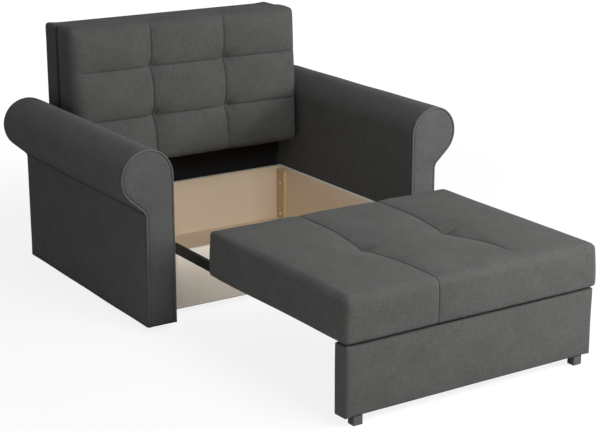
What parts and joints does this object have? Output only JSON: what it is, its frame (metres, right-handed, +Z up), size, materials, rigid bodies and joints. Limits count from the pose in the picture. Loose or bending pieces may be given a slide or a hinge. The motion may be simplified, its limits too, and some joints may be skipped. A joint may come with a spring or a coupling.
{
  "type": "chair bed",
  "caption": "Pull-out chair bed with rolled arms: the seat slides out on runners and the two-layer back opens forward to make a bed over a bedding box.",
  "frame": {"origin": "on the floor under the middle of the space taken up with the seat out and the back upright", "axes": "+Z up, +Y to the rear of the chair bed, +X to the right of someone facing it from the front"},
  "size_m": [1.472, 2.1494, 0.9855],
  "materials": {
    "arm_cover": "woven dark grey upholstery",
    "piping": "dark grey piping cord in cover fabric",
    "seat_cover": "woven dark grey upholstery",
    "back_cover": "woven dark grey upholstery",
    "chipboard": "light beige faced chipboard, whitish edges",
    "pine": "bare softwood frame",
    "black_panel": "black faced board",
    "black_steel": "black powder coat",
    "zinc_steel": "zinc plated",
    "white_screw": "white pan head",
    "black_plastic": "moulded black plastic",
    "nylon": "natural nylon"
  },
  "bodies": {
    "base": {"arm_right_frame": "pine", "arm_left_frame": "pine", "arm_right_cover": "arm_cover", "arm_left_cover": "arm_cover", "arm_right_facing": "arm_cover", "arm_left_facing": "arm_cover", "arm_right_piping": "piping", "arm_left_piping": "piping", "arm_right_glides": "black_plastic", "arm_left_glides": "black_plastic", "box_side_right": "chipboard", "box_side_left": "chipboard", "box_front_board": "chipboard", "box_back_board": "chipboard", "box_base_panel": "chipboard", "box_corner_battens": "chipboard", "box_batten_screws": "white_screw", "rear_panel": "black_panel", "box_roller_bracket_right": "black_steel", "box_roller_bracket_left": "black_steel", "pivot_plate_right": "black_steel", "pivot_plate_left": "black_steel"},
    "seat": {"seat_frame": "pine", "seat_board": "pine", "seat_bottom_panel": "pine", "seat_cushion": "seat_cover", "front_panel_board": "pine", "front_panel_cover": "seat_cover", "front_panel_angles": "zinc_steel", "seat_foot_left": "black_plastic", "seat_foot_right": "black_plastic", "runner_channel_left": "black_steel", "runner_channel_right": "black_steel"},
    "runner_left": {"runner_bar_left": "black_steel", "runner_caps_left": "black_plastic"},
    "runner_right": {"runner_bar_right": "black_steel", "runner_caps_right": "black_plastic"},
    "box_roller_left": {"box_roller_left": "nylon"},
    "box_roller_right": {"box_roller_right": "nylon"},
    "seat_roller_left": {"seat_roller_left": "nylon"},
    "seat_roller_right": {"seat_roller_right": "nylon"},
    "back_rear": {"back_rear_frame": "pine", "back_rear_cushion": "back_cover", "back_bracket_left": "black_steel", "back_bracket_right": "black_steel", "seam_hinge_rear_leaves": "zinc_steel"},
    "back_front": {"back_front_frame": "pine", "back_front_cushion": "back_cover", "seam_hinge_front_leaves": "zinc_steel"}
  },
  "joints": [
    {"name": "seat_slide", "type": "slide", "parent": "base", "child": "seat", "axis": [0, -1, 0], "range_m": [-1.0314, 0]},
    {"name": "runner_left_slide", "type": "slide", "parent": "base", "child": "runner_left", "axis": [0, -1, 0], "range_m": [-0.7555, 0]},
    {"name": "runner_right_slide", "type": "slide", "parent": "base", "child": "runner_right", "axis": [0, -1, 0], "range_m": [-0.7555, 0]},
    {"name": "back_fold", "type": "hinge", "parent": "base", "child": "back_rear", "pos_m": [0, 0.9907, 0.3285], "axis": [1, 0, 0], "range_deg": [0, 90]},
    {"name": "seam_fold", "type": "hinge", "parent": "back_rear", "child": "back_front", "pos_m": [0, 0.9462, 0.982], "axis": [1, 0, 0], "range_deg": [-180, 0]},
    {"name": "box_roller_left_spin", "type": "hinge", "parent": "base", "child": "box_roller_left", "pos_m": [-0.4575, 0.1472, 0.2342], "axis": [1, 0, 0], "continuous": true},
    {"name": "seat_roller_left_spin", "type": "hinge", "parent": "seat", "child": "seat_roller_left", "pos_m": [-0.4575, -0.2837, 0.2958], "axis": [1, 0, 0], "continuous": true},
    {"name": "box_roller_right_spin", "type": "hinge", "parent": "base", "child": "box_roller_right", "pos_m": [0.4575, 0.1472, 0.2342], "axis": [1, 0, 0], "continuous": true},
    {"name": "seat_roller_right_spin", "type": "hinge", "parent": "seat", "child": "seat_roller_right", "pos_m": [0.4575, -0.2837, 0.2958], "axis": [1, 0, 0], "continuous": true}
  ],
  "couplings": [
    {"joint": "runner_left_slide", "follows": "seat_slide", "ratio": 0.73201},
    {"joint": "runner_right_slide", "follows": "seat_slide", "ratio": 0.73201},
    {"joint": "seam_fold", "follows": "back_fold", "ratio": -2}
  ]
}
